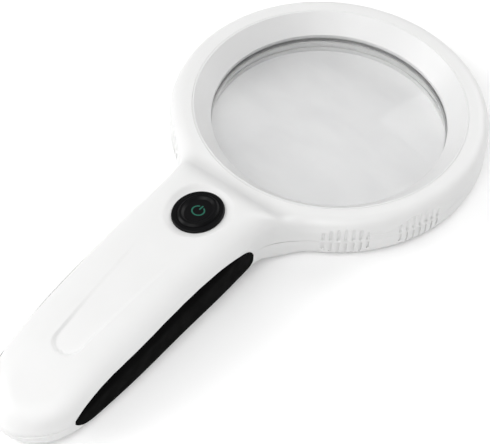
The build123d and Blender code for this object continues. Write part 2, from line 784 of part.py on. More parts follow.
# ---------------------------------------------------------------- battery door
tab_bottom = door_pivot_height + wall + 0.25
tab_thickness = 0.8
with BuildPart() as battery_door:
    add(outer_form)
    add(door_block(0.0), mode=Mode.INTERSECT)
    add(door_floor_form, mode=Mode.SUBTRACT)
    for x in door_tab_places:
        with BuildSketch(Plane.YZ.offset(x - door_tab_width / 2)):
            head_end = from_lens(door_head_distance)
            with BuildLine():
                Polyline(
                    (head_end - 1.3, door_pivot_height + 1.0),
                    (head_end - 0.3, door_pivot_height + 1.0),
                    (head_end - 0.3, tab_bottom),
                    (head_end + 1.6, tab_bottom),
                    (head_end + 1.6, tab_bottom + tab_thickness),
                    (head_end - 1.3, tab_bottom + tab_thickness),
                    close=True,
                )
            make_face()
        extrude(amount=door_tab_width)
    # finger grooves for opening
    for step in range(3):
        with BuildSketch(Plane.XY.offset(-2)):
            with Locations((0, from_lens(door_tail_distance - 5 - 2.2 * step))):
                SlotOverall(14, 1.0)
        extrude(amount=2 + groove_floor + 0.17 * step, mode=Mode.SUBTRACT)
battery_door.part.label = "battery_door"
export_step(battery_door.part, "parts/battery_door.step")

# ---------------------------------------------------------------- rubber grips
grip_skin = flank_skin(grip_depth, 0.0)
for name, side in (("right_grip", Keep.TOP), ("left_grip", Keep.BOTTOM)):
    with BuildPart() as grip:
        add(grip_skin)
        split(bisect_by=Plane.YZ, keep=side)
    grip.part.label = name
    export_step(grip.part, "parts/" + name + ".step")

# ---------------------------------------------------------------- screws
with BuildPart() as housing_screws:
    for (x, distance), base in zip(screw_places, screw_bases):
        with BuildSketch(Plane.XY.offset(base)):
            with Locations((x, from_lens(distance))):
                Circle(screw_head_radius)
        extrude(amount=screw_head_height)
        with BuildSketch(Plane.XY.offset(base + screw_head_height)):
            with Locations((x, from_lens(distance))):
                Circle(screw_radius)
        extrude(amount=screw_length)
        with BuildSketch(Plane.XY.offset(base)):
            with Locations((x, from_lens(distance))):
                Rectangle(2.6, 0.6)
                Rectangle(0.6, 2.6)
        extrude(amount=0.9, mode=Mode.SUBTRACT)
housing_screws.part.label = "housing_screws"
export_step(housing_screws.part, "parts/housing_screws.step")
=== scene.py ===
"""Looks of the low vision magnifier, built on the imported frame.

Lengths in the shape code are millimetres and become metres in make_mesh.
+Y runs from the handle to the lens head, +Z is up, +X is right.
"distance" is measured from the lens axis towards the handle's tail.
"""

import bmesh
import bpy
import numpy as np
from mathutils import Matrix, Vector


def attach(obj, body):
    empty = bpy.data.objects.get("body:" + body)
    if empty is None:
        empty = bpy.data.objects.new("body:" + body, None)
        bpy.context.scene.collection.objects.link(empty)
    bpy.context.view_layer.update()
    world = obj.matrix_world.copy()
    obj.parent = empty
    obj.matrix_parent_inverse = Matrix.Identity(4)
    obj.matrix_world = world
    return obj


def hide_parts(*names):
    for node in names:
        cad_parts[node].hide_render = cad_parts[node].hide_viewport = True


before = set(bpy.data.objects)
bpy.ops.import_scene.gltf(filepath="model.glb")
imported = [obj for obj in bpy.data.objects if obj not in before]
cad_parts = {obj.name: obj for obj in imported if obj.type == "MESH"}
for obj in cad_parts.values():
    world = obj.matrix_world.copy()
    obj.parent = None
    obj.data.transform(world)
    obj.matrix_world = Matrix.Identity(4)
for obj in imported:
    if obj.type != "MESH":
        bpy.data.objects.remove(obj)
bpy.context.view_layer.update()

LENS_Y = 59.0
HEAD_RADIUS = 59.0
TAIL_Y = -118.0
NECK_HALF, NECK_RADIUS = 20.3, 26.0
HALF_WIDTHS = [(85, 20.7), (110, 20.3), (135, 19.7), (152, 18.6), (164, 16.4)]
TOP = [(50, 17.5), (57, 20.0), (61, 23.4), (65, 25.6), (70, 26.6), (78, 27.0), (92, 26.8),
       (110, 25.5), (130, 23.2), (150, 20.0), (166, 15.6), (177, 11.0)]
BOTTOM = [(55, 0.0), (66, 3.2), (80, 5.0), (105, 4.4), (130, 2.7), (150, 1.2), (164, 0.4), (177, 1.4)]
BOTTOM_FOLD = 5.0
SEAM = [(50, 8.7), (66, 12.4), (85, 14.8), (110, 14.0), (135, 12.0), (160, 8.4), (177, 6.2)]
HEAD_SEAM, SEAM_OPENING = 8.7, 0.16
SHELL_WALL = 0.9

CARRIER_RADIUS, CARRIER_GAP = 51.0, 0.35
LENS_LIP = ((51.16, 17.46), (51.04, 17.3), (51.03, 16.6), (51.03, 15.5))
SPINE_END = 160.0
TOP_ABOVE_SEAM = 4.0

BUTTON_DISTANCE, BUTTON_FLOOR, BUTTON_LEAN = 78.0, 25.4, np.radians(2.0)
BEZEL_BODY, BEZEL_GAP = (7.6, 9.2), 0.1
DISH_START, DISH_FLOOR, DISH_EDGE = 58.0, (9.0, 10.6), (13.2, 16.2)
DISH_DEPTH, DISH_ROUNDING, DISH_LOWERING = 2.4, 0.5, 0.12

THUMB_START, THUMB_END = 92.0, 144.4
THUMB_HALF_WIDTHS = [(92, 8.8), (112, 7.6), (136, 6.2), (144.4, 5.8)]

LENS_CURVATURE, LENS_OPTICAL, LENS_RIM = 170.0, 43.9, 45.2
LENS_EDGE_BOTTOM, LENS_EDGE_TOP, LENS_CHAMFER = 7.2, 9.6, 0.2

RIB_PATCHES, RIB_PITCH, RIBS_EACH_SIDE = (42.0, 69.5), 2.6, 3
RIB_HEIGHT, RIB_DEPTH, RIB_SEAM_GAP, RIB_REACH = 5.6, 0.7, 0.5, 3.5
RIB_FLOOR_HALF, RIB_MOUTH_HALF, RIB_END_RADIUS = 0.34, 0.78, 0.55
CREASE_HEIGHT = 0.20
CREASE = [(49.5, 11.3), (54.9, 11.0), (58.1, 11.8), (60.4, 13.2), (62.5, 14.2), (65.4, 15.1),
          (69.0, 14.9), (73.6, 13.1)]

GRIP_HEAD, GRIP_TAIL = (72.3, 12.0), (161.2, 8.6)
GRIP_UPPER = [(72.9, 14.2), (75, 17.0), (79, 19.2), (86, 20.7), (98, 21.2), (112, 20.8), (128, 19.4),
              (144, 16.6), (154, 13.7), (159.3, 11.3)]
GRIP_LOWER = [(72.9, 10.0), (75, 8.4), (79, 7.5), (90, 7.0), (105, 6.5), (120, 5.7), (135, 4.9),
              (148, 4.2), (155, 4.5), (159.3, 6.0)]
GRIP_MARGIN, GRIP_PROUD, GRIP_EDGE_SINK, GRIP_BORDER, GRIP_INNER = 0.2, 0.22, 0.3, 0.7, 1.2

FLOOR_HALF, FLOOR_HEIGHT = 4.0, -0.0002
SOFT_BOX_SIZE = 1.2


# ---------------------------------------------------------------- curves
def smoothstep(low, high, value):
    """0 at low, 1 at high, with no slope at either; low may be the larger."""
    t = np.clip((np.asarray(value, float) - low) / (high - low), 0.0, 1.0)
    return t * t * (3.0 - 2.0 * t)


def smooth_min(a, b, width):
    """The lower of two heights, rounded over width where they cross."""
    h = np.clip(0.5 + 0.5 * (b - a) / width, 0.0, 1.0)
    return b + (a - b) * h - width * h * (1.0 - h)


def clamped_spline(points, start, end, per_span=60):
    """A smooth curve through points with unit tangents at both ends."""
    points = np.array(points, float)
    span = np.linalg.norm(np.diff(points, axis=0), axis=1)
    count = len(points)
    rows = np.zeros((count, count))
    right = np.zeros((count, 2))
    rows[0, 0] = rows[-1, -1] = 1.0
    right[0] = np.array(start) / np.linalg.norm(start)
    right[-1] = np.array(end) / np.linalg.norm(end)
    for i in range(1, count - 1):
        before, after = span[i - 1], span[i]
        rows[i, i - 1:i + 2] = after, 2 * (before + after), before
        right[i] = 3 * (after / before * (points[i] - points[i - 1])
                        + before / after * (points[i + 1] - points[i]))
    slopes = np.linalg.solve(rows, right)
    t = np.linspace(0, 1, per_span, endpoint=False)[:, None]
    parts = []
    for i, h in enumerate(span):
        parts.append((2 * t**3 - 3 * t**2 + 1) * points[i] + (t**3 - 2 * t**2 + t) * h * slopes[i]
                     + (3 * t**2 - 2 * t**3) * points[i + 1] + (t**3 - t**2) * h * slopes[i + 1])
    parts.append(points[-1:])
    return np.concatenate(parts)


def height_curve(points, start, end):
    """Height as a function of the distance from the lens axis."""
    curve = clamped_spline(points, start, end)
    return lambda distance: np.interp(distance, curve[:, 0], curve[:, 1])


top_height = height_curve(TOP, (1, 0), (1, -0.75))
bottom_height = height_curve(BOTTOM, (1, 0), (1, 0.12))
seam_height = height_curve(SEAM, (1, 0), (1, -0.2))


def half_outline():
    """Right half of the plan outline from the front to the tail: points and outward normals."""
    neck_x = NECK_HALF + NECK_RADIUS
    neck_y = LENS_Y - np.sqrt((HEAD_RADIUS + NECK_RADIUS) ** 2 - neck_x**2)
    meet = np.arctan2(neck_y - LENS_Y, neck_x)
    turn = np.linspace(np.pi / 2, meet, 3000)
    head = np.c_[HEAD_RADIUS * np.cos(turn), LENS_Y + HEAD_RADIUS * np.sin(turn)]
    turn = np.linspace(meet + np.pi, np.pi, 500)
    neck = np.c_[neck_x + NECK_RADIUS * np.cos(turn), neck_y + NECK_RADIUS * np.sin(turn)]
    sides = [(NECK_HALF, neck_y)] + [(half, LENS_Y - d) for d, half in HALF_WIDTHS] + [(0, TAIL_Y)]
    handle = clamped_spline(sides, (0, -1), (-1, 0), 600)
    line = np.concatenate([head[:-1], neck[:-1], handle])
    along = np.gradient(line, axis=0)
    along /= np.linalg.norm(along, axis=1)[:, None]
    normal = np.c_[-along[:, 1], along[:, 0]]
    normal[0], normal[-1] = (0, 1), (0, -1)
    return line, normal, len(head) - 1, len(head) + len(neck) - 2


OUTLINE, NORMALS, NECK_START, NECK_END = half_outline()
REACH = np.r_[0, np.cumsum(np.linalg.norm(np.diff(OUTLINE, axis=0), axis=1))]


def handle_angle(x, y):
    """Angle about the lens axis from the handle's direction, in degrees."""
    return np.degrees(np.arctan2(np.abs(x), LENS_Y - y))


# ---------------------------------------------------------------- the moulded skin
def edge_width(distance):
    """How far in the rounded top edge reaches."""
    return 5.0 + 5.0 * smoothstep(50, 88, distance) - 1.5 * smoothstep(150, 172, distance)


def edge_drop(distance):
    """How far down the rounded top edge reaches."""
    room = 0.9 * (top_height(distance) - seam_height(distance))
    return np.minimum(5.0 + 0.4 * smoothstep(52, 84, distance), room)


def crown(x, distance):
    """How far the handle's top falls away from its middle line."""
    return 2.3 * smoothstep(60, 92, distance) * (x / 20.0) ** 2


def dish_height(x, distance):
    """Height of the oval dish that the button sits in."""
    along = BUTTON_DISTANCE - distance
    floor = BUTTON_FLOOR - np.tan(BUTTON_LEAN) * along
    reach = np.hypot(x, along) + 1e-9
    cx, cy = x / reach, along / reach
    inner = 1 / np.hypot(cx / DISH_FLOOR[0], cy / DISH_FLOOR[1])
    outer = 1 / np.hypot(cx / DISH_EDGE[0], cy / DISH_EDGE[1])
    rise = DISH_DEPTH * (reach - inner) / (outer - inner)
    return floor - smooth_min(-rise, np.zeros_like(rise), DISH_ROUNDING) - DISH_LOWERING


def thumb_depth(x, distance):
    """Depth of the shallow thumb rest, fading out towards the button."""
    centre = np.clip(distance, THUMB_START, THUMB_END)
    half = np.interp(centre, *zip(*THUMB_HALF_WIDTHS))
    inside = half - np.hypot(x, distance - centre)
    depth = 0.24 * smoothstep(94, 112, distance) + 0.75 * smoothstep(122, 150, distance)
    return depth * smoothstep(0.0, 1.5 + 2.5 * smoothstep(2.0, -3.0, x), inside)


def rib_depth(x, y, z):
    """Depth of the upright finger slots in the rim's two eye-shaped patches."""
    angle = handle_angle(x, y)
    depth = np.zeros_like(angle)
    for patch in RIB_PATCHES:
        for step in range(-RIBS_EACH_SIDE, RIBS_EACH_SIDE + 1):
            height = RIB_HEIGHT * np.sqrt(1 - (step / (RIBS_EACH_SIDE + 1)) ** 2)
            across = np.radians(angle - patch - step * RIB_PITCH) * HEAD_RADIUS
            up = np.abs(z - HEAD_SEAM - RIB_SEAM_GAP - height / 2) - (height / 2 - RIB_END_RADIUS)
            gap = np.hypot(across, np.maximum(up, 0.0))
            depth = np.maximum(depth, RIB_DEPTH * (1 - smoothstep(RIB_FLOOR_HALF, RIB_MOUTH_HALF, gap)))
    rounded_off = np.maximum(HEAD_RADIUS - np.hypot(x, y - LENS_Y), 0.0)
    # A fine raised crease runs from one patch up over the other.
    crease = np.abs(z - np.interp(angle, *zip(*CREASE)))
    ends = smoothstep(49, 52, angle) * smoothstep(74, 71, angle)
    ridge = CREASE_HEIGHT * ends * (1 - smoothstep(0.08, 0.55, crease))
    return np.maximum(depth - rounded_off, 0.0) - ridge


def spacing(x, y):
    """Wanted distance between neighbouring columns of the skin."""
    angle = handle_angle(x, y)
    on_head = np.hypot(x, y - LENS_Y) > HEAD_RADIUS - 0.5
    ribs = on_head & (angle > 31) & (angle < 80)
    return np.where(ribs, 0.24, np.where(LENS_Y - y > 60, 0.5, 0.75))


def stations():
    """Indices of the outline points that carry a column of the skin."""
    density = np.r_[0, np.cumsum(np.diff(REACH) / spacing(*OUTLINE[:-1].T))]
    count = int(density[-1])
    picked = np.searchsorted(density, np.linspace(0, density[-1], count))
    last = len(OUTLINE) - 1
    return np.unique(np.clip(np.r_[picked, 0, NECK_START, NECK_END, last], 0, last))


def upper_rows():
    """Grid of the upper housing's right half: rows from the seam to the lens or the middle line."""
    picked = stations()
    outline, normal = OUTLINE[picked], NORMALS[picked]
    distance = LENS_Y - outline[:, 1]
    seam = seam_height(distance)
    width, drop = edge_width(distance), edge_drop(distance)
    shoulder = top_height(distance) - crown(outline[:, 0], distance) - drop
    rows = []

    def put(inset, z):
        point = outline - normal * np.broadcast_to(inset, seam.shape)[:, None]
        rows.append(np.c_[point, np.broadcast_to(z, seam.shape)])

    for inset, lift in ((SHELL_WALL, 0.02), (0.25, 0.02), (0.05, 0.05), (0.0, SEAM_OPENING)):
        put(inset, seam + lift)
    start = seam + SEAM_OPENING
    for t in np.linspace(0, 1, 27)[1:]:
        put(0.0, start + (shoulder - start) * t)
    for turn in np.radians(np.linspace(0, 90, 23))[1:]:
        inset = width * (1 - np.cos(turn))
        point = outline - normal * inset[:, None]
        d = LENS_Y - point[:, 1]
        z = top_height(d) - crown(point[:, 0], d) - drop * (1 - np.sin(turn))
        rows.append(np.c_[point, z])
    # The top runs in to the lens opening on the head, and to the middle line on the handle.
    angle = handle_angle(outline[:, 0], outline[:, 1])
    rim = CARRIER_RADIUS + CARRIER_GAP
    index = np.arange(len(picked))
    start_neck = int(np.searchsorted(picked, NECK_START))
    end_neck = int(np.searchsorted(picked, NECK_END))
    turn = np.radians(angle)
    reach = REACH[picked]
    neck_share = np.clip((reach - REACH[NECK_START]) / (REACH[NECK_END] - REACH[NECK_START]), 0, 1)
    turn = np.where(index >= start_neck, turn[start_neck] * (1 - neck_share), turn)
    target = np.c_[rim * np.sin(turn), LENS_Y - rim * np.cos(turn)]
    tail_share = (reach - REACH[NECK_END]) / (REACH[-1] - REACH[NECK_END])
    spine = LENS_Y - (rim + (SPINE_END - rim) * np.clip(tail_share, 0, 1))
    on_handle = index >= end_neck
    target[on_handle] = np.c_[np.zeros(on_handle.sum()), spine[on_handle]]
    inner = rows[-1][:, :2]
    for t in np.linspace(0, 1, 45)[1:]:
        point = inner + (target - inner) * t
        d = LENS_Y - point[:, 1]
        rows.append(np.c_[point, top_height(d) - crown(point[:, 0], d)])
    grid = np.array(rows)
    x, d = grid[4:, :, 0], LENS_Y - grid[4:, :, 1]
    z = grid[4:, :, 2]
    high = z > seam_height(d) + TOP_ABOVE_SEAM
    dished = smooth_min(z, dish_height(x, d), 0.35)
    z = np.where(high & (d > DISH_START), dished, z) - np.where(high, thumb_depth(x, d), 0)
    grid[4:, :, 2] = z
    depth = rib_depth(grid[:, :, 0], grid[:, :, 1], grid[:, :, 2])
    depth = np.where(np.hypot(grid[:, :, 0], grid[:, :, 1] - LENS_Y) > HEAD_RADIUS - RIB_REACH, depth, 0)
    depth[:3] = 0
    grid[:, :, 0] -= depth * normal[:, 0]
    grid[:, :, 1] -= depth * normal[:, 1]
    lip = []
    for radius, z in LENS_LIP:
        lip.append(np.c_[radius * np.sin(turn), LENS_Y - radius * np.cos(turn), np.full(len(turn), z)])
    return grid, np.array(lip), end_neck


def make_mesh(name, vertices, faces, material, merge, both_sides=False):
    """A mesh object from millimetre vertices, joined where nearer than merge.

    both_sides adds the mirrored half.
    """
    vertices = np.array(vertices, float)
    faces = list(faces)
    if both_sides:
        count = len(vertices)
        vertices = np.concatenate([vertices, vertices * (-1, 1, 1)])
        faces += [tuple(count + i for i in reversed(face)) for face in faces]
    mesh = bpy.data.meshes.new(name)
    mesh.from_pydata((vertices / 1000.0).tolist(), [], faces)
    shape = bmesh.new()
    shape.from_mesh(mesh)
    bmesh.ops.remove_doubles(shape, verts=shape.verts, dist=merge / 1000.0)
    bmesh.ops.dissolve_degenerate(shape, edges=shape.edges, dist=1e-7)
    bmesh.ops.recalc_face_normals(shape, faces=shape.faces)
    bmesh.ops.delete(shape, geom=[v for v in shape.verts if not v.link_faces], context="VERTS")
    shape.to_mesh(mesh)
    shape.free()
    mesh.polygons.foreach_set("use_smooth", [True] * len(mesh.polygons))
    mesh.materials.append(material)
    obj = bpy.data.objects.new(name, mesh)
    bpy.context.scene.collection.objects.link(obj)
    return obj


def grid_faces(row_count, column_count, first=0, columns=None):
    """Quads of a grid of vertices that starts at index first; columns leaves out the later ones."""
    width = columns if columns is not None else column_count - 1
    corners = [(first + r * column_count + c, first + (r + 1) * column_count + c)
               for r in range(row_count - 1) for c in range(width)]
    return [(near, near + 1, far + 1, far) for near, far in corners]


# ---------------------------------------------------------------- materials
def node_material(name):
    """A new material with its node tree, its shader and the object's own coordinates."""
    material = bpy.data.materials.new(name)
    material.use_nodes = True
    tree = material.node_tree
    shader = tree.nodes["Principled BSDF"]
    coordinates = tree.nodes.new("ShaderNodeTexCoord")
    return material, tree, shader, coordinates.outputs["Object"]


def noise(tree, coordinates, scale, detail=3.0, roughness=0.55):
    node = tree.nodes.new("ShaderNodeTexNoise")
    node.inputs["Scale"].default_value = scale
    node.inputs["Detail"].default_value = detail
    node.inputs["Roughness"].default_value = roughness
    tree.links.new(coordinates, node.inputs["Vector"])
    return node.outputs["Fac"]


def ramp(tree, value, low, high, at=(0.3, 0.7)):
    """Colour that goes from low to high as value goes over at."""
    node = tree.nodes.new("ShaderNodeValToRGB")
    node.color_ramp.elements[0].position, node.color_ramp.elements[1].position = at
    node.color_ramp.elements[0].color = (*low, 1)
    node.color_ramp.elements[1].color = (*high, 1)
    tree.links.new(value, node.inputs["Fac"])
    return node.outputs["Color"]


def spread(tree, value, low, high):
    """Number that goes from low to high as value goes over a noise's usual range."""
    node = tree.nodes.new("ShaderNodeMapRange")
    node.inputs["From Min"].default_value, node.inputs["From Max"].default_value = 0.3, 0.7
    node.inputs["To Min"].default_value, node.inputs["To Max"].default_value = low, high
    tree.links.new(value, node.inputs["Value"])
    return node.outputs["Result"]


def bump(tree, shader, value, strength, distance):
    node = tree.nodes.new("ShaderNodeBump")
    node.inputs["Strength"].default_value = strength
    node.inputs["Distance"].default_value = distance
    tree.links.new(value, node.inputs["Height"])
    tree.links.new(node.outputs["Normal"], shader.inputs["Normal"])


def moulded(name, dark, light, rough, grain=2600.0, strength=0.10, depth=0.00004, specular=0.5):
    """Moulded plastic or rubber: faint colour drift, uneven gloss and a fine spark-eroded grain."""
    material, tree, shader, place = node_material(name)
    tree.links.new(ramp(tree, noise(tree, place, 38.0, 4.0), dark, light), shader.inputs["Base Color"])
    tree.links.new(spread(tree, noise(tree, place, 210.0, 3.0), *rough), shader.inputs["Roughness"])
    bump(tree, shader, noise(tree, place, grain, 2.0), strength, depth)
    shader.inputs["Specular IOR Level"].default_value = specular
    return material


white = moulded("white_shell", (0.775, 0.775, 0.77), (0.80, 0.80, 0.797), (0.34, 0.44))
carrier_white = moulded("carrier_white", (0.765, 0.765, 0.763), (0.79, 0.79, 0.788), (0.30, 0.40))
black = moulded("button_black", (0.0030, 0.0030, 0.0034), (0.0045, 0.0045, 0.005), (0.30, 0.42),
                grain=1900.0, strength=0.25, specular=0.12)
rubber = moulded("grip_rubber", (0.0016, 0.0016, 0.0016), (0.003, 0.003, 0.003), (0.62, 0.80),
                 grain=1500.0, strength=0.5, depth=0.00008, specular=0.02)
gasket = moulded("gasket_grey", (0.38, 0.38, 0.38), (0.46, 0.46, 0.46), (0.55, 0.7))
tray = moulded("tray_white", (0.66, 0.66, 0.65), (0.72, 0.72, 0.71), (0.45, 0.6))
switch_grey = moulded("switch_grey", (0.10, 0.10, 0.11), (0.14, 0.14, 0.15), (0.4, 0.55))
component = moulded("component_dark", (0.02, 0.02, 0.022), (0.04, 0.04, 0.043), (0.4, 0.6))
wire = moulded("wire_red", (0.40, 0.02, 0.02), (0.5, 0.04, 0.035), (0.3, 0.45))
icon = moulded("icon_green", (0.008, 0.10, 0.062), (0.016, 0.15, 0.10), (0.35, 0.45))
lamp = moulded("lamp_yellow", (0.80, 0.66, 0.16), (0.88, 0.76, 0.26), (0.25, 0.4))


def board_material():
    """Green solder mask with fine copper tracks showing through."""
    material, tree, shader, place = node_material("board_green")
    wave = tree.nodes.new("ShaderNodeTexWave")
    wave.inputs["Scale"].default_value = 260.0
    wave.inputs["Distortion"].default_value = 6.0
    wave.inputs["Detail"].default_value = 1.0
    tree.links.new(place, wave.inputs["Vector"])
    tree.links.new(ramp(tree, wave.outputs["Fac"], (0.015, 0.10, 0.05), (0.03, 0.19, 0.10), (0.45, 0.6)),
                   shader.inputs["Base Color"])
    tree.links.new(spread(tree, noise(tree, place, 300.0), 0.3, 0.45), shader.inputs["Roughness"])
    return material


def metal_material(name, dark, light, rough):
    """Bare metal with faint stains and uneven gloss."""
    material, tree, shader, place = node_material(name)
    tree.links.new(ramp(tree, noise(tree, place, 500.0, 4.0), dark, light), shader.inputs["Base Color"])
    tree.links.new(spread(tree, noise(tree, place, 900.0), *rough), shader.inputs["Roughness"])
    shader.inputs["Metallic"].default_value = 1.0
    return material


def window_material():
    """Frosted translucent plastic over the lamps."""
    material, tree, shader, place = node_material("window_frosted")
    tree.links.new(ramp(tree, noise(tree, place, 60.0), (0.74, 0.76, 0.77), (0.82, 0.84, 0.85)),
                   shader.inputs["Base Color"])
    tree.links.new(spread(tree, noise(tree, place, 900.0), 0.45, 0.6), shader.inputs["Roughness"])
    shader.inputs["Transmission Weight"].default_value = 0.35
    bump(tree, shader, noise(tree, place, 2400.0), 0.3, 0.00005)
    return material


def cell_material():
    """The plain, slightly metallic sleeve of a cell."""
    material, tree, shader, place = node_material("cell_jacket")
    tree.links.new(ramp(tree, noise(tree, place, 22.0, 2.0), (0.04, 0.13, 0.27), (0.06, 0.19, 0.36)),
                   shader.inputs["Base Color"])
    tree.links.new(spread(tree, noise(tree, place, 400.0), 0.25, 0.4), shader.inputs["Roughness"])
    shader.inputs["Metallic"].default_value = 0.3
    return material


def lens_material():
    """Clear plastic with a grey tint that paints in the shade seen through it, darker towards its left
    side, a smeared polish haze and light passing to the table below.
    """
    material, tree, shader, place = node_material("lens_clear")
    stretch = tree.nodes.new("ShaderNodeMapping")
    stretch.inputs["Scale"].default_value = (1.0, 2.6, 1.0)
    tree.links.new(place, stretch.inputs["Vector"])
    smear = ramp(tree, noise(tree, stretch.outputs["Vector"], 26.0, 5.0, 0.62),
                 (0.925, 0.925, 0.930), (1.0, 1.0, 1.0), (0.32, 0.62))
    # Painted shade: the lens colour goes from darker at its left side (-X) to lighter at its right.
    split = tree.nodes.new("ShaderNodeSeparateXYZ")
    tree.links.new(place, split.inputs["Vector"])
    painted_shade_sweep = tree.nodes.new("ShaderNodeMapRange")
    painted_shade_sweep.inputs["From Min"].default_value, painted_shade_sweep.inputs["From Max"].default_value = -0.044, 0.030
    painted_shade_sweep.inputs["To Min"].default_value, painted_shade_sweep.inputs["To Max"].default_value = 0.0, 1.0
    tree.links.new(split.outputs["X"], painted_shade_sweep.inputs["Value"])
    painted_shade_tint = ramp(tree, painted_shade_sweep.outputs["Result"], (0.812, 0.812, 0.812), (0.828, 0.828, 0.828), (0.0, 1.0))
    tint = tree.nodes.new("ShaderNodeMixRGB")
    tint.blend_type = "MULTIPLY"
    tint.inputs["Fac"].default_value = 1.0
    tree.links.new(painted_shade_tint, tint.inputs["Color1"])
    tree.links.new(smear, tint.inputs["Color2"])
    tree.links.new(tint.outputs["Color"], shader.inputs["Base Color"])
    tree.links.new(spread(tree, noise(tree, place, 45.0, 3.0), 0.02, 0.06), shader.inputs["Roughness"])
    shader.inputs["Transmission Weight"].default_value = 1.0
    shader.inputs["IOR"].default_value = 1.12
    shader.inputs["Coat Weight"].default_value = 0.35
    shader.inputs["Coat Roughness"].default_value = 0.12
    path = tree.nodes.new("ShaderNodeLightPath")
    clear = tree.nodes.new("ShaderNodeBsdfTransparent")
    clear.inputs["Color"].default_value = (0.45, 0.455, 0.455, 1)
    mix = tree.nodes.new("ShaderNodeMixShader")
    tree.links.new(path.outputs["Is Shadow Ray"], mix.inputs["Fac"])
    tree.links.new(shader.outputs["BSDF"], mix.inputs[1])
    tree.links.new(clear.outputs["BSDF"], mix.inputs[2])
    tree.links.new(mix.outputs["Shader"], tree.nodes["Material Output"].inputs["Surface"])
    return material


board = board_material()
nickel = metal_material("contact_nickel", (0.55, 0.55, 0.53), (0.68, 0.68, 0.66), (0.22, 0.4))
steel = metal_material("screw_steel", (0.48, 0.48, 0.49), (0.62, 0.62, 0.63), (0.25, 0.42))

finishes = {
    "lower_housing": white, "battery_door": white, "lens_carrier": carrier_white,
    "lens": lens_material(), "lens_gasket": gasket, "lens_retainer": carrier_white,
    "light_window": window_material(), "led_board": board, "leds": lamp, "button_bezel": black,
    "power_button": black, "button_icon": icon, "switch_plunger": switch_grey, "switch_body": switch_grey,
    "main_board": board, "board_components": component, "led_harness": wire, "battery_harness": wire,
    "battery_tray": tray, "battery_1": cell_material(), "battery_2": cell_material(),
    "contact_plates": nickel, "contact_springs": nickel, "housing_screws": steel,
}
for node, material in finishes.items():
    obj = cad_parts[node]
    obj.data.materials.clear()
    obj.data.materials.append(material)

# ---------------------------------------------------------------- upper housing
grid, lip, end_neck = upper_rows()
rows, columns = grid.shape[:2]
vertices = np.concatenate([grid.reshape(-1, 3), lip.reshape(-1, 3)])
faces = grid_faces(rows, columns)
lip_start = rows * columns
faces += grid_faces(2, columns, lip_start - columns, end_neck)
faces += grid_faces(len(lip), columns, lip_start, end_neck)
along = BUTTON_DISTANCE - (LENS_Y - vertices[:, 1])
in_bore = np.hypot(vertices[:, 0] / (BEZEL_BODY[0] + BEZEL_GAP), along / (BEZEL_BODY[1] + BEZEL_GAP)) < 1
in_bore &= vertices[:, 2] > BUTTON_FLOOR - DISH_DEPTH
faces = [face for face in faces if not all(in_bore[i] for i in face)]
used = sorted({i for face in faces for i in face})
renumber = {old: new for new, old in enumerate(used)}
faces = [tuple(renumber[i] for i in face) for face in faces]
upper_shell = make_mesh("upper_shell", vertices[used], faces, white, merge=0.004, both_sides=True)
wall = upper_shell.modifiers.new("wall", "SOLIDIFY")
wall.thickness, wall.offset = SHELL_WALL / 1000.0, -1.0
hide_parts("upper_housing")
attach(upper_shell, "casing")


# ---------------------------------------------------------------- lens
def turned(profile, columns):
    """Vertices and faces of a profile of (radius, height) points turned about the lens axis."""
    turns = np.linspace(0, 2 * np.pi, columns, endpoint=False)
    points = [(r * np.cos(a), LENS_Y + r * np.sin(a), z) for r, z in profile for a in turns]
    faces = []
    for ring in range(0, (len(profile) - 1) * columns, columns):
        for c in range(columns):
            after = (c + 1) % columns
            faces.append((ring + c, ring + after, ring + columns + after, ring + columns + c))
    return points, faces


def lens_profile():
    """Half section of the clear lens: two domed faces joined by a flat rim with broken edges."""
    dome = LENS_CURVATURE - np.sqrt(LENS_CURVATURE**2 - LENS_OPTICAL**2)
    radii = LENS_OPTICAL * np.sin(np.linspace(0, np.pi / 2, 40))
    rise = np.sqrt(LENS_CURVATURE**2 - radii**2) - LENS_CURVATURE + dome
    top = [(r, LENS_EDGE_TOP + h) for r, h in zip(radii, rise)]
    bottom = [(r, LENS_EDGE_BOTTOM - h) for r, h in zip(radii, rise)]
    rim = [(LENS_RIM - LENS_CHAMFER, LENS_EDGE_TOP), (LENS_RIM, LENS_EDGE_TOP - LENS_CHAMFER),
           (LENS_RIM, LENS_EDGE_BOTTOM + LENS_CHAMFER), (LENS_RIM - LENS_CHAMFER, LENS_EDGE_BOTTOM)]
    return top + rim + bottom[::-1]


points, faces = turned(lens_profile(), 240)
clear_lens = make_mesh("clear_lens", points, faces, finishes["lens"], merge=0.002)
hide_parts("lens")
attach(clear_lens, "casing")


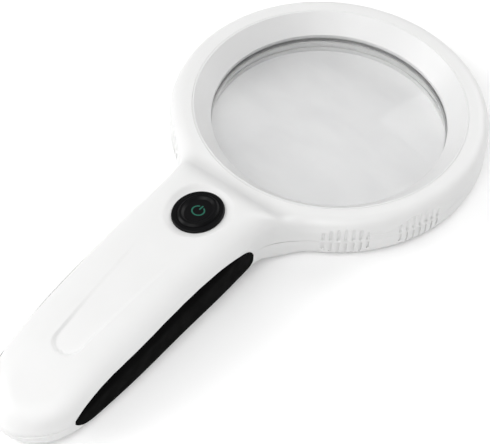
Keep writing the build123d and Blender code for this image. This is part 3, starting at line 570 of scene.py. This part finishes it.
# ---------------------------------------------------------------- rubber grips
def grip_grid(proud, sink, top_shift):
    """Surface of a right-hand grip laid on the handle's flank, its top edge moved by top_shift."""
    upper = clamped_spline([GRIP_HEAD] + GRIP_UPPER + [GRIP_TAIL], (0, 1), (0, -1))
    lower = clamped_spline([GRIP_HEAD] + GRIP_LOWER + [GRIP_TAIL], (0, -1), (0, 1))
    share = (1 - np.cos(np.linspace(0, np.pi, 220))) / 2
    squeeze = GRIP_HEAD[0] + (GRIP_TAIL[0] - GRIP_HEAD[0]) * share
    head, tail = GRIP_HEAD[0] - GRIP_MARGIN, GRIP_TAIL[0] + GRIP_MARGIN
    distance = head + (tail - head) * share
    high = np.interp(squeeze, upper[:, 0], upper[:, 1]) + GRIP_MARGIN
    high += top_shift * smoothstep(0.0, 0.12, share) * smoothstep(1.0, 0.88, share)
    low = np.interp(squeeze, lower[:, 0], lower[:, 1]) - GRIP_MARGIN
    handle = slice(NECK_START, None)
    ox = np.interp(distance, LENS_Y - OUTLINE[handle, 1], OUTLINE[handle, 0])
    nx = np.interp(distance, LENS_Y - OUTLINE[handle, 1], NORMALS[handle, 0])
    ny = np.interp(distance, LENS_Y - OUTLINE[handle, 1], NORMALS[handle, 1])
    width, drop = edge_width(distance), edge_drop(distance)
    shoulder = top_height(distance) - crown(ox, distance) - drop
    foot = bottom_height(distance) + BOTTOM_FOLD
    rows = []
    for v in np.linspace(0, 1, 33):
        v = (1 - np.cos(np.pi * v)) / 2
        z = low + (high - low) * v
        up = np.clip((z - shoulder) / drop, 0, 0.999)
        down = np.clip((foot - z) / BOTTOM_FOLD, 0, 0.999)
        inset = width * (1 - np.sqrt(1 - up**2)) + BOTTOM_FOLD * (1 - np.sqrt(1 - down**2))
        side = np.sqrt(1 - up**2) * np.sqrt(1 - down**2)
        tilt = up * width / np.hypot(width, drop) * 1.2 - down
        size = np.hypot(side, tilt)
        edge = np.minimum(np.minimum(z - low, high - z), np.minimum(distance - head, tail - distance))
        rise = np.sqrt(1 - (1 - np.clip(edge / GRIP_BORDER, 0, 1)) ** 2)
        lift = -sink + (proud + sink) * rise
        inward = inset - lift * side / size
        rows.append(np.c_[ox - nx * inward, LENS_Y - distance - ny * inward, z + lift * tilt / size])
    return np.array(rows)


def grip_mesh(top_shift):
    """Closed pad: the outer surface, an inner one, and the wall between their edges."""
    outer = grip_grid(GRIP_PROUD, GRIP_EDGE_SINK, top_shift)
    inner = grip_grid(-GRIP_INNER, GRIP_INNER, top_shift)
    rows, columns = outer.shape[:2]
    count = rows * columns
    faces = grid_faces(rows, columns)
    faces += [tuple(reversed([count + i for i in face])) for face in grid_faces(rows, columns)]
    index = np.arange(count).reshape(rows, columns)
    rim = np.r_[index[0], index[1:, -1], index[-1, -2::-1], index[-2:0:-1, 0]].tolist()
    faces += [(here, after, count + after, count + here) for here, after in zip(rim, rim[1:] + rim[:1])]
    return np.concatenate([outer.reshape(-1, 3), inner.reshape(-1, 3)]), faces


for name, node, side, top_shift in (("right_grip_pad", "right_grip", 1, 0.4),
                                    ("left_grip_pad", "left_grip", -1, -2.4)):
    vertices, faces = grip_mesh(top_shift)
    pad = make_mesh(name, vertices * (side, 1, 1), faces, rubber, merge=0.003)
    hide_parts(node)
    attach(pad, "casing")


# ---------------------------------------------------------------- floor, light and camera
def floor_material():
    """Plain pale table top."""
    material, tree, shader, place = node_material("floor_white")
    tree.links.new(ramp(tree, noise(tree, place, 3.0), (0.955, 0.955, 0.955), (0.965, 0.965, 0.965)),
                   shader.inputs["Base Color"])
    shader.inputs["Roughness"].default_value = 0.9
    shader.inputs["Specular IOR Level"].default_value = 0.1
    shader.inputs["Emission Color"].default_value = (1, 1, 1, 1)
    shader.inputs["Emission Strength"].default_value = 0.06
    return material


floor_mesh = bpy.data.meshes.new("floor")
corners = [(x * FLOOR_HALF, y * FLOOR_HALF, FLOOR_HEIGHT) for x, y in ((-1, -1), (1, -1), (1, 1), (-1, 1))]
floor_mesh.from_pydata(corners, [], [(0, 1, 2, 3)])
floor_mesh.materials.append(floor_material())
floor = bpy.data.objects.new("floor", floor_mesh)
bpy.context.scene.collection.objects.link(floor)


def soft_box(name, place, power):
    """A square area light aimed at the object's middle."""
    light = bpy.data.lights.new(name, "AREA")
    light.size = SOFT_BOX_SIZE
    light.energy = power
    lamp_object = bpy.data.objects.new(name, light)
    lamp_object.location = place
    lamp_object.rotation_euler = (-Vector(place)).to_track_quat("-Z", "Y").to_euler()
    bpy.context.scene.collection.objects.link(lamp_object)


soft_box("left_box", (-1.30, -1.01, 0.95), 17.8)
soft_box("back_box", (0.24, 1.63, 0.95), 13.7)
soft_box("right_box", (0.58, -0.82, 1.61), 12.5)
soft_box("over_box", (-0.15, -1.00, 1.61), 8.0)

world = bpy.data.worlds.new("studio")
world.use_nodes = True
background = world.node_tree.nodes["Background"]
background.inputs["Color"].default_value = (1, 1, 1, 1)
background.inputs["Strength"].default_value = 0.305
bpy.context.scene.world = world

camera = bpy.data.cameras.new("camera")
camera.sensor_fit = "HORIZONTAL"
camera.sensor_width = 36.0
camera.lens = 132.2449
camera.clip_start, camera.clip_end = 0.01, 20.0
camera_object = bpy.data.objects.new("camera", camera)
right = (0.787360, 0.615077, 0.041768)
up = (-0.487909, 0.580291, 0.652079)
back = (0.376841, -0.533800, 0.756999)
camera_turn = Matrix((right, up, back)).transposed().to_4x4()
camera_object.matrix_world = Matrix.Translation((0.246119, -0.339501, 0.489916)) @ camera_turn
bpy.context.scene.collection.objects.link(camera_object)
bpy.context.scene.camera = camera_object
bpy.context.scene.view_settings.view_transform = "Standard"
